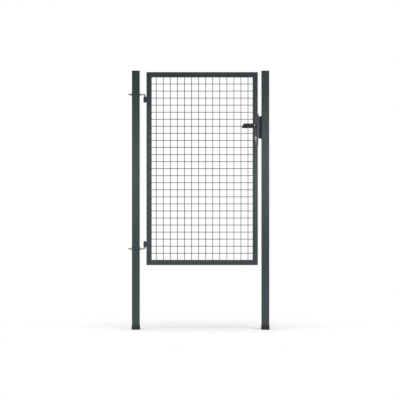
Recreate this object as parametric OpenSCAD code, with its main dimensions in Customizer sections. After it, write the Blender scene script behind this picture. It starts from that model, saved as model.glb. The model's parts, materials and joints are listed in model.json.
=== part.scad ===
// Single-leaf fence gate: two square posts, a framed leaf with welded mesh,
// two rod hinges and an insert lock with levers, cylinder and keep.
// Millimetres, +Z up. The origin is the centre of the underside of the
// hinge post's foot. The latch post stands towards +X, the front faces -Y.

/* [Posts] */
// Distance between the centres of the two posts
post_pitch = 1000; // [850:1:1400]
// Height of a post with its foot and its cap
post_h = 2000; // [1850:1:2400]
// Width of the square post tube
post_w = 60; // [50:1:80]
// Wall of the post tube
post_wall = 2; // [1.5:0.5:4]
// Outer corner radius of the post tube
post_r = 4; // [3:0.5:8]

/* [Caps and feet] */
// Height of a cap above the end of its tube
cap_h = 9; // [5:1:20]
// Overhang of a cap on each side of the post
cap_lip = 0.5; // [0:0.1:4]
// Depth of the cap's plug inside the tube
cap_plug = 18; // [10:1:40]
// Step in around the top of a cap
cap_ease = 2; // [1:0.5:3]
// Wall of the cap's plug
cap_plug_wall = 3; // [2:0.5:5]
// Height of a foot
foot_h = 36; // [20:1:80]
// Wall of a foot around the post
foot_wall = 3; // [2:0.5:6]
// Thickness of a foot under the post
foot_floor = 4; // [2:0.5:10]
// Clearance of caps and feet to the tube
push_fit = 0.2; // [0.1:0.05:0.4]

/* [Leaf] */
// Height of the leaf
leaf_h = 1490; // [1200:1:1700]
// How far the top of the leaf stays below the top of the posts
top_drop = 12; // [5:1:60]
// Gap between the hinge post and the leaf
hinge_gap = 52; // [48:1:80]
// Gap between the leaf and the latch post
latch_gap = 28; // [23:1:40]
// Width of the square frame tube
frame_w = 40; // [36:1:50]
// Wall of the frame tube
frame_wall = 1.5; // [1:0.5:3]
// Outer corner radius of the frame tube
frame_r = 3; // [2:0.5:6]

/* [Mesh] */
// Diameter of the mesh wire
wire_d = 5; // [3:0.5:6]
// Distance from wire to wire in both directions
mesh_pitch = 54.5; // [45:0.5:80]
// Depth of the weld where two wires cross
weld_sink = 0.6; // [0.3:0.1:1.5]

/* [Hinges] */
// Diameter of the hinge rods
rod_d = 12; // [10:1:16]
// Radial clearance between a pin and its barrel
pin_fit = 0.05; // [0.02:0.01:0.1]
// Outer diameter of a barrel
barrel_d = 24; // [20:1:32]
// Length of a barrel
barrel_h = 42; // [30:1:70]
// Width of the pad that joins a barrel to the stile
pad_w = 14; // [8:1:20]
// Centreline radius of the bend in a rod
bend_r = 13; // [10:1:20]
// Height of the upper rod below the top of the leaf
upper_rod_drop = 171.5; // [120:0.5:400]
// Height of the lower rod above the bottom of the leaf
lower_rod_up = 126.5; // [100:0.5:400]
// Pin that shows between the upper bend and its barrel
upper_slack = 5.5; // [1:0.5:15]
// Pin between the lower bend and its barrel
lower_slack = 0.5; // [0.3:0.1:15]
// How far a pin runs out past its barrel
pin_past = 4; // [1:1:15]
// How far a rod runs out past the outer face of the post
rod_tail = 27; // [22:1:60]
// Clearance of a rod in the holes of the post
rod_hole_fit = 0.4; // [0.2:0.1:1.5]
// Width across the flats of a nut
nut_af = 19; // [17:1:24]
// Thickness of a nut
nut_t = 10; // [6:1:14]
// Diameter of a washer
washer_d = 24; // [20:1:37]
// Thickness of a washer
washer_t = 2.5; // [1.5:0.5:4]

/* [Lock] */
// Distance from the outer face of the stile back to the lock's axes
backset = 18; // [16:0.5:20]
// Height of the lever axis above the bottom of the leaf
lever_up = 1076; // [900:1:1150]
// Distance from the lever axis down to the cylinder axis
axis_gap = 92; // [88:1:110]
// Length of the back plates and the forend
plate_len = 244; // [235:1:280]
// Width of a back plate
plate_w = 38; // [34:1:40]
// Thickness of a back plate
plate_t = 8; // [5:0.5:12]
// Corner radius of a back plate
plate_r = 5; // [2:0.5:10]
// How far the plates and the forend rise above the lever axis
plate_rise = 93; // [80:1:100]
// Distance of the plate screws from the ends of the plates
screw_inset = 9; // [7:1:12]
// Diameter of the plate screws
screw_d = 5; // [4:0.5:6]
// Thickness of the forend
forend_t = 3; // [2:0.5:4]
// Width of the forend
forend_w = 28; // [24:1:32]
// How far the lock block stands out from the forend
block_t = 8; // [6:0.5:10]
// Depth of the lock block from front to back
block_w = 30; // [26:1:34]
// How far the lock block starts above the cylinder screw
block_foot = 13; // [6:1:14]
// Height of the ramp at the top of the lock block
ramp_h = 22; // [10:1:30]
// Height of the lock case
case_h = 208; // [200:1:212]
// Thickness of the lock case
case_w = 16; // [15:0.5:20]
// Wall of the lock case
case_wall = 1.5; // [1:0.5:2]

/* [Bolts and keep] */
// Thickness of the latch bolt and the dead bolt
bolt_w = 12; // [8:1:12]
// Length of the latch bolt and the dead bolt
bolt_len = 41; // [30:1:42]
// Height of the latch bolt
latch_h = 24; // [16:1:30]
// Distance from the lever axis up to the latch bolt's centre
latch_up = 37; // [32:1:42]
// Height of the dead bolt
dead_h = 32; // [20:1:36]
// Distance from the cylinder axis up to the dead bolt's centre
dead_up = 44; // [34:1:48]
// Flat left on the nose of the latch bolt
nose_w = 3; // [2:0.5:4]
// Length of the bevel on the latch bolt
latch_bevel = 9; // [5:1:11]
// Clearance of a bolt in its slot
bolt_fit = 0.3; // [0.1:0.05:0.6]
// Clearance of a bolt in the pocket of the keep
pocket_fit = 2.5; // [1:0.5:4]
// Gap between the lock block and the keep
keep_gap = 5.3; // [5.2:0.1:8]
// Depth of the keep in front of its stop
keep_w = 34; // [32:1:40]
// Height of the keep
keep_len = 173; // [160:1:190]
// How far the keep runs below the lock block
keep_drop = 5; // [0:1:8]
// Corner radius of the keep
keep_r = 2; // [2:0.5:7]
// Thickness of the stop behind the leaf
stop_t = 3; // [2:0.5:6]
// Gap between the lock block and the stop
stop_gap = 5.2; // [5.1:0.1:8]
// How far the stop reaches behind the lock block
stop_lap = 4; // [2:0.5:4.5]
// Distance of the lowest keep screw from the lower end of the keep
keep_screw_low = 14; // [12:0.5:18]
// Distance of the highest keep screw from the upper end of the keep
keep_screw_high = 10; // [9:0.5:10]
// Diameter of the keep screws
keep_screw_d = 6; // [5:0.5:8]
// Length of the keep screws behind the face of the post
keep_screw_in = 12; // [6:1:30]

/* [Levers] */
// Length of a lever from its axis to its tip
lever_len = 106; // [90:1:130]
// Height of a lever
lever_h = 31; // [22:1:34]
// Thickness of a lever
lever_t = 12.5; // [9:0.5:16]
// How far the slanted tip of a lever is cut back at its top
tip_cut = 12; // [0:1:25]
// Gap between a back plate and its lever
finger_gap = 36.5; // [32:0.5:50]
// Diameter of the neck of a lever
neck_d = 22; // [18:1:26]
// Diameter of the journal that turns in the back plate
journal_d = 18; // [14:1:20]
// Gap between the neck of a lever and its back plate
neck_gap = 0.3; // [0.2:0.1:1]
// Radial clearance of the journals and of the cylinder plug
turn_fit = 0.05; // [0.02:0.01:0.1]
// Width of the square spindle
spindle_w = 8; // [7:1:10]
// Depth of the spindle in each lever
spindle_in = 26; // [15:1:30]

/* [Cylinder and keys] */
// Diameter of the round part of the lock cylinder
cyl_d = 17; // [16:0.5:18]
// Width of the web of the lock cylinder
cyl_web_w = 10; // [9:0.5:11]
// Height of the lock cylinder
cyl_h = 33; // [30:1:34]
// How far the cylinder stands out of the back plates
cyl_out = 3; // [1:0.5:6]
// Clearance around the cylinder
cyl_fit = 0.3; // [0.1:0.05:0.6]
// Distance from the cylinder axis down to its fixing screw
cyl_screw_down = 15; // [13:0.5:16]
// Diameter of the head of the cylinder's fixing screw
cyl_screw_head = 9; // [8:0.5:10]
// Diameter of the plug in the cylinder
plug_d = 13; // [11:0.5:13.5]
// Half of the length between the two plugs
plug_apart = 5; // [3:0.5:8]
// Thickness of a key
key_t = 2.2; // [1.8:0.1:2.6]
// Height of a key's blade
blade_h = 8.4; // [7:0.1:9]
// Length of a key's blade from its shoulder
blade_len = 24; // [18:1:26]
// Diameter of the bow of the key in the lock
bow_d = 24; // [20:1:26]
// Gap between the cylinder and the bow of the key
bow_gap = 3; // [2:0.5:5]
// Diameter of the hole in a bow
bow_hole = 6; // [5:0.5:7]
// Distance of the hole from the middle of the bow of the key in the lock
hole_off = 6; // [5:0.5:7]
// Width of a bow on the spare keys
spare_bow_d = 18; // [16:1:18]
// Turn of the spare keys away from the ring's own plane
spare_turn = 40; // [30:1:42]
// Diameter of the wire of the key ring
ring_wire = 2; // [1.5:0.1:2.2]
// Radius of the key ring on its centreline
ring_r = 11; // [10:0.5:13]
// Gap where the ring hangs in the bow of the key
hang_gap = 0.3; // [0.2:0.1:0.5]
// Gap where the spare keys hang on the ring
spare_gap = 1.1; // [0.9:0.1:1.2]
// Distance of each spare key from the middle of the ring
spare_x = 2.6; // [2.5:0.1:2.7]

/* [Hidden] */
fine = 64;
coarse = 40;
wire_sides = 8;
nut_sides = 6;
least_r = 0.5;
over = 1;
powder_coat = [0.27, 0.31, 0.32];
frame_coat = [0.30, 0.33, 0.34];
black_plastic = [0.13, 0.13, 0.13];
zinc = [0.62, 0.62, 0.58];
dark_steel = [0.22, 0.23, 0.24];
lock_grey = [0.38, 0.40, 0.41];
nickel = [0.72, 0.72, 0.70];

tube_z0 = foot_floor;
tube_z1 = post_h - cap_h;
leaf_x0 = post_w / 2 + hinge_gap;
leaf_x1 = post_pitch - post_w / 2 - latch_gap;
leaf_z1 = post_h - top_drop;
leaf_z0 = leaf_z1 - leaf_h;
open_x0 = leaf_x0 + frame_w;
open_x1 = leaf_x1 - frame_w;
open_z0 = leaf_z0 + frame_w;
open_z1 = leaf_z1 - frame_w;
wires_up = floor((open_x1 - open_x0) / mesh_pitch);
wires_across = floor((open_z1 - open_z0) / mesh_pitch);
wire_shift = (wire_d - weld_sink) / 2;

hinge_x = leaf_x0 - barrel_d / 2;
upper_rod_z = leaf_z1 - upper_rod_drop;
lower_rod_z = leaf_z0 + lower_rod_up;
upper_barrel_z = upper_rod_z - bend_r - upper_slack - barrel_h;
lower_barrel_z = lower_rod_z + bend_r + lower_slack;
rod_hole_d = rod_d + 2 * rod_hole_fit;

lock_x = leaf_x1 - backset;
lever_z = leaf_z0 + lever_up;
cyl_z = lever_z - axis_gap;
plate_z1 = lever_z + plate_rise;
plate_z0 = plate_z1 - plate_len;
plate_y = frame_w / 2 + plate_t;
forend_x = leaf_x1 + forend_t;
block_x = forend_x + block_t;
block_z0 = cyl_z - cyl_screw_down + block_foot;
case_z0 = (plate_z0 + plate_z1 - case_h) / 2;
case_x0 = leaf_x1 - frame_w + frame_wall + over;
head_d = 2 * screw_d;
head_t = screw_d / 2;
latch_z = lever_z + latch_up;
dead_z = cyl_z + dead_up;

keep_face = block_x + keep_gap;
post_face = post_pitch - post_w / 2;
keep_t = post_face - keep_face;
keep_z0 = block_z0 - keep_drop;
stop_y = block_w / 2 + stop_gap;
keep_head_d = 2 * keep_screw_d;
keep_head_t = keep_screw_d / 2;
keep_screw_zs = [keep_z0 + keep_screw_low,
    (latch_z - latch_h / 2 + dead_z + dead_h / 2) / 2,
    keep_z0 + keep_len - keep_screw_high];

bar_y = plate_y + finger_gap;
cyl_y = plate_y + cyl_out;
bow_y = -(cyl_y + bow_gap + bow_d / 2);
hole_y = bow_y - hole_off;
ring_top_z = cyl_z - (bow_hole - ring_wire) / 2 + hang_gap;
ring_z = ring_top_z - ring_r;
spare_wire_z = ring_z - sqrt(ring_r * ring_r - spare_x * spare_x);
spare_hole_z = spare_wire_z - (bow_hole - ring_wire) / 2 + spare_gap;

// Square with rounded corners, centred
module rounded_square(w, h, r) {
    square([w, h - 2 * r], center = true);
    square([w - 2 * r, h], center = true);
    for (sx = [-1, 1], sy = [-1, 1])
        translate([sx * (w / 2 - r), sy * (h / 2 - r)])
            circle(r = r, $fn = coarse);
}

// Square tube along +Z from its lower end
module tube(w, wall, r, length) {
    linear_extrude(height = length)
        difference() {
            rounded_square(w, w, r);
            rounded_square(w - 2 * wall, w - 2 * wall, max(r - wall, least_r));
        }
}

// Round bar along +X
module bar_x(d, length) {
    rotate([0, 90, 0])
        cylinder(d = d, h = length, $fn = fine);
}

// Round bar along +Y
module bar_y_dir(d, length) {
    rotate([-90, 0, 0])
        cylinder(d = d, h = length, $fn = fine);
}

// Outline in the X-Z plane given depth along +Y
module deep(length) {
    translate([0, length, 0])
        rotate([90, 0, 0])
            linear_extrude(height = length)
                children();
}

module post_tube() {
    translate([0, 0, tube_z0])
        tube(post_w, post_wall, post_r, tube_z1 - tube_z0);
}

module hinge_post() {
    color(powder_coat)
        difference() {
            post_tube();
            for (z = [lower_rod_z, upper_rod_z])
                translate([-post_w, 0, z])
                    bar_x(rod_hole_d, 2 * post_w);
        }
}

module latch_post() {
    color(powder_coat)
        difference() {
            translate([post_pitch, 0, 0])
                post_tube();
            for (z = keep_screw_zs)
                translate([post_face - over, 0, z])
                    bar_x(keep_screw_d + 2 * bolt_fit, post_wall + 2 * over);
        }
}

// Plastic shoe that the post stands in, its rim and sole eased
module foot() {
    outer = post_w + 2 * foot_wall;
    corner = post_r + foot_wall;
    ease = foot_wall / 2;
    difference() {
        union() {
            translate([0, 0, ease])
                linear_extrude(height = foot_h - 2 * ease)
                    rounded_square(outer, outer, corner);
            linear_extrude(height = foot_h)
                rounded_square(outer - 2 * ease, outer - 2 * ease, corner - ease);
        }
        translate([0, 0, tube_z0])
            linear_extrude(height = foot_h)
                rounded_square(post_w + 2 * push_fit, post_w + 2 * push_fit, post_r + push_fit);
    }
}

module hinge_post_foot() {
    color(black_plastic)
        foot();
}

module latch_post_foot() {
    color(black_plastic)
        translate([post_pitch, 0, 0])
            foot();
}

// Plastic cap: a head on the end of the tube and a hollow plug inside it
module cap() {
    head = post_w + 2 * cap_lip;
    plug = post_w - 2 * post_wall - 2 * push_fit;
    plug_r = max(post_r - post_wall, least_r);
    translate([0, 0, tube_z1])
        linear_extrude(height = cap_h - cap_ease)
            rounded_square(head, head, post_r + cap_lip);
    translate([0, 0, post_h - cap_ease])
        linear_extrude(height = cap_ease)
            rounded_square(head - 2 * cap_ease, head - 2 * cap_ease, post_r);
    translate([0, 0, tube_z1 - cap_plug])
        linear_extrude(height = cap_plug)
            difference() {
                rounded_square(plug, plug, plug_r);
                rounded_square(plug - 2 * cap_plug_wall, plug - 2 * cap_plug_wall, plug_r);
            }
}

module hinge_post_cap() {
    color(black_plastic)
        cap();
}

module latch_post_cap() {
    color(black_plastic)
        translate([post_pitch, 0, 0])
            cap();
}

// Rod through the post, bent down into a pin at the hinge axis
module hinge_rod(slack) {
    rod_x0 = -post_w / 2 - rod_tail;
    bend_x = hinge_x - bend_r;
    pin_len = slack + barrel_h + pin_past;
    translate([rod_x0, 0, 0])
        bar_x(rod_d, bend_x - rod_x0);
    translate([bend_x, 0, -bend_r])
        rotate([90, 0, 0])
            rotate_extrude(angle = 90, $fn = fine)
                translate([bend_r, 0])
                    circle(d = rod_d, $fn = fine);
    translate([hinge_x, 0, -bend_r - pin_len])
        cylinder(d = rod_d, h = pin_len, $fn = fine);
}

module upper_hinge_rod() {
    color(zinc)
        translate([0, 0, upper_rod_z])
            hinge_rod(upper_slack);
}

module lower_hinge_rod() {
    color(zinc)
        translate([0, 0, lower_rod_z])
            mirror([0, 0, 1])
                hinge_rod(lower_slack);
}

// One washer on each face of the hinge post
module washers(z) {
    for (x = [-post_w / 2 - washer_t, post_w / 2])
        translate([x, 0, z])
            difference() {
                bar_x(washer_d, washer_t);
                translate([-over, 0, 0])
                    bar_x(rod_hole_d, washer_t + 2 * over);
            }
}

module upper_hinge_washers() {
    color(zinc)
        washers(upper_rod_z);
}

module lower_hinge_washers() {
    color(zinc)
        washers(lower_rod_z);
}

// One nut outside each washer
module nuts(z) {
    for (x = [-post_w / 2 - washer_t - nut_t, post_w / 2 + washer_t])
        translate([x, 0, z])
            difference() {
                rotate([0, 90, 0])
                    cylinder(d = nut_af / cos(180 / nut_sides), h = nut_t, $fn = nut_sides);
                translate([-over, 0, 0])
                    bar_x(rod_d + 2 * pin_fit, nut_t + 2 * over);
            }
}

module upper_hinge_nuts() {
    color(zinc)
        nuts(upper_rod_z);
}

module lower_hinge_nuts() {
    color(zinc)
        nuts(lower_rod_z);
}

// Outline of the keep: square at the post, rounded towards the leaf
module keep_outline() {
    intersection() {
        translate([keep_face + keep_t, keep_z0 + keep_len / 2])
            rounded_square(2 * keep_t, keep_len, keep_r);
        translate([keep_face, keep_z0])
            square([keep_t, keep_len]);
    }
}

// Pocket that takes a bolt
module pocket(z, h) {
    translate([keep_face - over, -bolt_w / 2 - pocket_fit, z - h / 2 - pocket_fit])
        cube([keep_t + 2 * over, bolt_w + 2 * pocket_fit, h + 2 * pocket_fit]);
}

module keep() {
    color(dark_steel)
        difference() {
            union() {
                translate([0, -keep_w / 2, 0])
                    deep(keep_w / 2 + stop_y + stop_t)
                        keep_outline();
                translate([block_x - stop_lap, stop_y, keep_z0 + keep_r])
                    cube([keep_face + keep_r - block_x + stop_lap, stop_t, keep_len - 2 * keep_r]);
            }
            pocket(latch_z, latch_h);
            pocket(dead_z, dead_h);
            for (z = keep_screw_zs) {
                translate([keep_face - over, 0, z])
                    bar_x(keep_screw_d + 2 * bolt_fit, keep_t + 2 * over);
                translate([keep_face - over, 0, z])
                    bar_x(keep_head_d + 2 * bolt_fit, over + keep_head_t);
            }
        }
}

module keep_screws() {
    color(zinc)
        for (z = keep_screw_zs) {
            translate([keep_face, 0, z])
                bar_x(keep_head_d, keep_head_t);
            translate([keep_face, 0, z])
                bar_x(keep_screw_d, keep_t + keep_screw_in);
        }
}

// Upright frame tube at x, mitred at both ends with its long side outwards
module stile(x, inward) {
    intersection() {
        translate([x, 0, leaf_z0])
            tube(frame_w, frame_wall, frame_r, leaf_h);
        translate([x, -frame_w, 0])
            deep(2 * frame_w)
                polygon([
                    [-inward * frame_w / 2, leaf_z0], [inward * frame_w / 2, open_z0],
                    [inward * frame_w / 2, open_z1], [-inward * frame_w / 2, leaf_z1]
                ]);
    }
}

// Level frame tube at z, mitred at both ends with its long side outwards
module rail(z, inward) {
    intersection() {
        translate([leaf_x0, 0, z])
            rotate([0, 90, 0])
                tube(frame_w, frame_wall, frame_r, leaf_x1 - leaf_x0);
        translate([0, -frame_w, z])
            deep(2 * frame_w)
                polygon([
                    [leaf_x0, -inward * frame_w / 2], [open_x0, inward * frame_w / 2],
                    [open_x1, inward * frame_w / 2], [leaf_x1, -inward * frame_w / 2]
                ]);
    }
}

module top_rail() {
    color(frame_coat)
        rail(leaf_z1 - frame_w / 2, -1);
}

module bottom_rail() {
    color(frame_coat)
        rail(leaf_z0 + frame_w / 2, 1);
}

module hinge_stile() {
    color(frame_coat)
        stile(leaf_x0 + frame_w / 2, 1);
}

// Outline of the lock cylinder, with room around it
module cylinder_outline(room) {
    circle(d = cyl_d + 2 * room, $fn = fine);
    translate([-cyl_web_w / 2 - room, cyl_d / 2 - cyl_h - room])
        square([cyl_web_w + 2 * room, cyl_h - cyl_d / 2 + room]);
}

// Holes for the spindle, the cylinder and the plate screws, right through
module lock_holes(hole_d) {
    translate([lock_x, -frame_w, lever_z])
        bar_y_dir(hole_d, 2 * frame_w);
    translate([lock_x, -frame_w, cyl_z])
        deep(2 * frame_w)
            cylinder_outline(cyl_fit);
    for (z = [plate_z0 + screw_inset, plate_z1 - screw_inset])
        translate([lock_x, -frame_w, z])
            bar_y_dir(screw_d + 2 * bolt_fit, 2 * frame_w);
}

module latch_stile() {
    color(frame_coat)
        difference() {
            stile(leaf_x1 - frame_w / 2, -1);
            translate([leaf_x1 - frame_w / 2, -case_w / 2 - bolt_fit, case_z0 - bolt_fit])
                cube([frame_w, case_w + 2 * bolt_fit, case_h + 2 * bolt_fit]);
            lock_holes(journal_d + 2 * bolt_fit);
        }
}

// Welded mesh: upright wires in front of level wires, fused where they cross
module mesh_infill() {
    color(frame_coat)
        union() {
            for (i = [0 : wires_up - 1])
                translate([(open_x0 + open_x1) / 2 + (i - (wires_up - 1) / 2) * mesh_pitch,
                    -wire_shift, open_z0])
                    cylinder(d = wire_d, h = open_z1 - open_z0, $fn = wire_sides);
            for (i = [0 : wires_across - 1])
                translate([open_x0, wire_shift,
                    (open_z0 + open_z1) / 2 + (i - (wires_across - 1) / 2) * mesh_pitch])
                    rotate([0, 90, 0])
                        cylinder(d = wire_d, h = open_x1 - open_x0, $fn = wire_sides);
        }
}

// Barrel with the pad that welds it to the stile
module barrel(z) {
    difference() {
        union() {
            translate([hinge_x, 0, z])
                cylinder(d = barrel_d, h = barrel_h, $fn = fine);
            translate([hinge_x, -pad_w / 2, z])
                cube([leaf_x0 - hinge_x, pad_w, barrel_h]);
        }
        translate([hinge_x, 0, z - over])
            cylinder(d = rod_d + 2 * pin_fit, h = barrel_h + 2 * over, $fn = fine);
    }
}

module upper_hinge_barrel() {
    color(dark_steel)
        barrel(upper_barrel_z);
}

module lower_hinge_barrel() {
    color(dark_steel)
        barrel(lower_barrel_z);
}

// Sheet case of the lock, open towards the forend
module lock_case() {
    color(zinc)
        difference() {
            translate([case_x0, -case_w / 2, case_z0])
                cube([leaf_x1 - case_x0, case_w, case_h]);
            translate([case_x0 + case_wall, -case_w / 2 + case_wall, case_z0 + case_wall])
                cube([frame_w, case_w - 2 * case_wall, case_h - 2 * case_wall]);
            lock_holes(spindle_w * sqrt(2) + 2 * bolt_fit);
        }
}

// Slot in the forend and its block for a bolt
module bolt_slot(z, h) {
    translate([leaf_x1 - over, -bolt_w / 2 - bolt_fit, z - h / 2 - bolt_fit])
        cube([forend_t + block_t + 2 * over, bolt_w + 2 * bolt_fit, h + 2 * bolt_fit]);
}

// Forend plate with the block that reaches towards the keep
module lock_forend() {
    color(lock_grey)
        difference() {
            union() {
                translate([leaf_x1, -forend_w / 2, plate_z0])
                    cube([forend_t, forend_w, plate_len]);
                translate([0, -block_w / 2, 0])
                    deep(block_w)
                        polygon([
                            [forend_x, block_z0], [block_x, block_z0],
                            [block_x, plate_z1 - ramp_h], [forend_x, plate_z1]
                        ]);
            }
            bolt_slot(latch_z, latch_h);
            bolt_slot(dead_z, dead_h);
            translate([leaf_x1 - over, 0, cyl_z - cyl_screw_down])
                bar_x(screw_d + 2 * bolt_fit, forend_t + 2 * over);
        }
}

// Back plate in front of the stile, with holes for journal, cylinder and screws
module back_plate() {
    difference() {
        translate([lock_x, -plate_y, (plate_z0 + plate_z1) / 2])
            deep(plate_t)
                rounded_square(plate_w, plate_len, plate_r);
        translate([lock_x, -plate_y - over, lever_z])
            bar_y_dir(journal_d + 2 * turn_fit, plate_t + 2 * over);
        translate([lock_x, -plate_y - over, cyl_z])
            deep(plate_t + 2 * over)
                cylinder_outline(cyl_fit);
        for (z = [plate_z0 + screw_inset, plate_z1 - screw_inset])
            translate([lock_x, -plate_y - over, z]) {
                bar_y_dir(screw_d + 2 * bolt_fit, plate_t + 2 * over);
                bar_y_dir(head_d + 2 * bolt_fit, over + head_t);
            }
    }
}

module front_back_plate() {
    color(dark_steel)
        back_plate();
}

module rear_back_plate() {
    color(dark_steel)
        mirror([0, 1, 0])
            back_plate();
}

// Through screws with a flush head on each side
module plate_screws() {
    color(dark_steel)
        for (z = [plate_z0 + screw_inset, plate_z1 - screw_inset])
            translate([lock_x, 0, z]) {
                translate([0, -plate_y, 0])
                    bar_y_dir(screw_d, 2 * plate_y);
                for (y = [-plate_y, plate_y - head_t])
                    translate([0, y, 0])
                        bar_y_dir(head_d, head_t);
            }
}

module lock_cylinder() {
    color(nickel)
        difference() {
            translate([lock_x, -cyl_y, cyl_z])
                deep(2 * cyl_y)
                    cylinder_outline(0);
            for (y = [-cyl_y - over, plug_apart])
                translate([lock_x, y, cyl_z])
                    bar_y_dir(plug_d + 2 * turn_fit, cyl_y - plug_apart + over);
            translate([lock_x - cyl_web_w, 0, cyl_z - cyl_screw_down])
                bar_x(screw_d + 2 * pin_fit, 2 * cyl_web_w);
        }
}

// Screw through the forend that holds the lock cylinder
module cylinder_screw() {
    color(zinc)
        translate([0, 0, cyl_z - cyl_screw_down]) {
            translate([lock_x - cyl_web_w / 2, 0, 0])
                bar_x(screw_d, forend_x + head_t - lock_x + cyl_web_w / 2);
            translate([forend_x, 0, 0])
                bar_x(cyl_screw_head, head_t);
        }
}

// Plug of the cylinder with its keyway, on the front side
module plug() {
    difference() {
        translate([lock_x, -cyl_y, cyl_z])
            bar_y_dir(plug_d, cyl_y - plug_apart);
        translate([lock_x - key_t / 2 - turn_fit, -cyl_y - over, cyl_z - blade_h / 2 - turn_fit])
            cube([key_t + 2 * turn_fit, blade_len + over, blade_h + 2 * turn_fit]);
    }
}

module front_plug() {
    color(nickel)
        plug();
}

module rear_plug() {
    color(nickel)
        mirror([0, 1, 0])
            plug();
}

// Key in the lock: a flat blade and a round bow in an upright plane
module key() {
    color(nickel)
        translate([lock_x - key_t / 2, 0, cyl_z])
            rotate([90, 0, 90])
                linear_extrude(height = key_t)
                    difference() {
                        union() {
                            translate([bow_y, 0])
                                circle(d = bow_d, $fn = fine);
                            translate([bow_y, -blade_h / 2])
                                square([blade_len - cyl_y - bow_y - turn_fit, blade_h]);
                        }
                        translate([hole_y, 0])
                            circle(d = bow_hole, $fn = coarse);
                    }
}

// Ring through the bow of the key, hanging in the X-Z plane
module key_ring() {
    color(zinc)
        translate([lock_x, hole_y, ring_z])
            rotate([90, 0, 0])
                rotate_extrude($fn = fine)
                    translate([ring_r, 0])
                        circle(d = ring_wire, $fn = coarse);
}

// Loose key that hangs by its bow, flat side towards +X
module spare_key() {
    translate([-key_t / 2, 0, 0])
        rotate([90, 0, 90])
            linear_extrude(height = key_t)
                difference() {
                    union() {
                        translate([0, bow_hole - spare_bow_d / 2])
                            circle(d = spare_bow_d, $fn = fine);
                        translate([-blade_h / 2, bow_hole - spare_bow_d - blade_len])
                            square([blade_h, blade_len + spare_bow_d / 2]);
                    }
                    circle(d = bow_hole, $fn = coarse);
                }
}

module spare_keys() {
    color(nickel)
        for (side = [-1, 1])
            translate([lock_x + side * spare_x, hole_y, spare_hole_z])
                rotate([0, 0, -spare_turn])
                    spare_key();
}

// Lever with its neck and journal on the front side
module lever() {
    difference() {
        translate([lock_x, 0, lever_z]) {
            translate([0, -bar_y - lever_t, 0])
                deep(lever_t) {
                    circle(d = lever_h, $fn = fine);
                    polygon([
                        [0, -lever_h / 2], [0, lever_h / 2],
                        [tip_cut - lever_len, lever_h / 2], [-lever_len, -lever_h / 2]
                    ]);
                }
            translate([0, -bar_y, 0])
                bar_y_dir(neck_d, finger_gap - neck_gap);
            translate([0, -plate_y - over, 0])
                bar_y_dir(journal_d, plate_t + over);
        }
        socket_w = spindle_w + 2 * turn_fit;
        translate([lock_x - socket_w / 2, -plate_y - spindle_in, lever_z - socket_w / 2])
            cube([socket_w, spindle_in + plate_t + over, socket_w]);
    }
}

module front_lever() {
    color(black_plastic)
        lever();
}

module rear_lever() {
    color(black_plastic)
        mirror([0, 1, 0])
            lever();
}

module spindle() {
    color(zinc)
        translate([lock_x - spindle_w / 2, -plate_y - spindle_in + turn_fit, lever_z - spindle_w / 2])
            cube([spindle_w, 2 * (plate_y + spindle_in - turn_fit), spindle_w]);
}

// Sprung latch bolt, drawn back flush, bevelled on the side that meets the keep
module latch_bolt() {
    color(nickel)
        translate([0, 0, latch_z - latch_h / 2])
            linear_extrude(height = latch_h)
                polygon([
                    [block_x - bolt_len, -bolt_w / 2], [block_x, -bolt_w / 2],
                    [block_x, nose_w - bolt_w / 2], [block_x - latch_bevel, bolt_w / 2],
                    [block_x - bolt_len, bolt_w / 2]
                ]);
}

module dead_bolt() {
    color(nickel)
        translate([block_x - bolt_len, -bolt_w / 2, dead_z - dead_h / 2])
            cube([bolt_len, bolt_w, dead_h]);
}

hinge_post();
latch_post();
hinge_post_foot();
latch_post_foot();
hinge_post_cap();
latch_post_cap();
upper_hinge_rod();
lower_hinge_rod();
upper_hinge_washers();
lower_hinge_washers();
upper_hinge_nuts();
lower_hinge_nuts();
keep();
keep_screws();
top_rail();
bottom_rail();
hinge_stile();
latch_stile();
mesh_infill();
upper_hinge_barrel();
lower_hinge_barrel();
lock_case();
lock_forend();
front_back_plate();
rear_back_plate();
plate_screws();
lock_cylinder();
rear_plug();
cylinder_screw();
front_lever();
rear_lever();
spindle();
latch_bolt();
dead_bolt();
front_plug();
key();
key_ring();
spare_keys();
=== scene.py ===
import json
import math
import random

import bmesh
import bpy
from mathutils import Matrix, Vector


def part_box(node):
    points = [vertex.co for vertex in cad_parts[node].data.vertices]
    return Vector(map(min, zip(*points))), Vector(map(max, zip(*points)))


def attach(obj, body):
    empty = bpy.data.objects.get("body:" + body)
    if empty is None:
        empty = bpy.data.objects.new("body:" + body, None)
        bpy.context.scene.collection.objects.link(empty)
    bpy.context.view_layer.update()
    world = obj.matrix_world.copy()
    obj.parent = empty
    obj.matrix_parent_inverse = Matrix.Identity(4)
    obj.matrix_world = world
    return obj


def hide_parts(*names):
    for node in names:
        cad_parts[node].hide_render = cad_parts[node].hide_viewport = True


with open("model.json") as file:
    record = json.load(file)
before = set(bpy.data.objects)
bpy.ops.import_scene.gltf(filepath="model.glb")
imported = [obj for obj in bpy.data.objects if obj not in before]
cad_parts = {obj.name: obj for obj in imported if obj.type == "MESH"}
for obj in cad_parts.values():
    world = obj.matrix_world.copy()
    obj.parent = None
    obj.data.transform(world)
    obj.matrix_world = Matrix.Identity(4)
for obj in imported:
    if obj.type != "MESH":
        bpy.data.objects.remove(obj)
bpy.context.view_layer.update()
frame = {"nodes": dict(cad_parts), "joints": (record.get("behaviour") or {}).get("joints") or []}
nodes = frame["nodes"]
print("frame loaded:", len(nodes), "CAD nodes")


def jointPoint(name):
    return Vector(next(j["pos_m"] for j in frame["joints"] if j["name"] == name))


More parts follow.
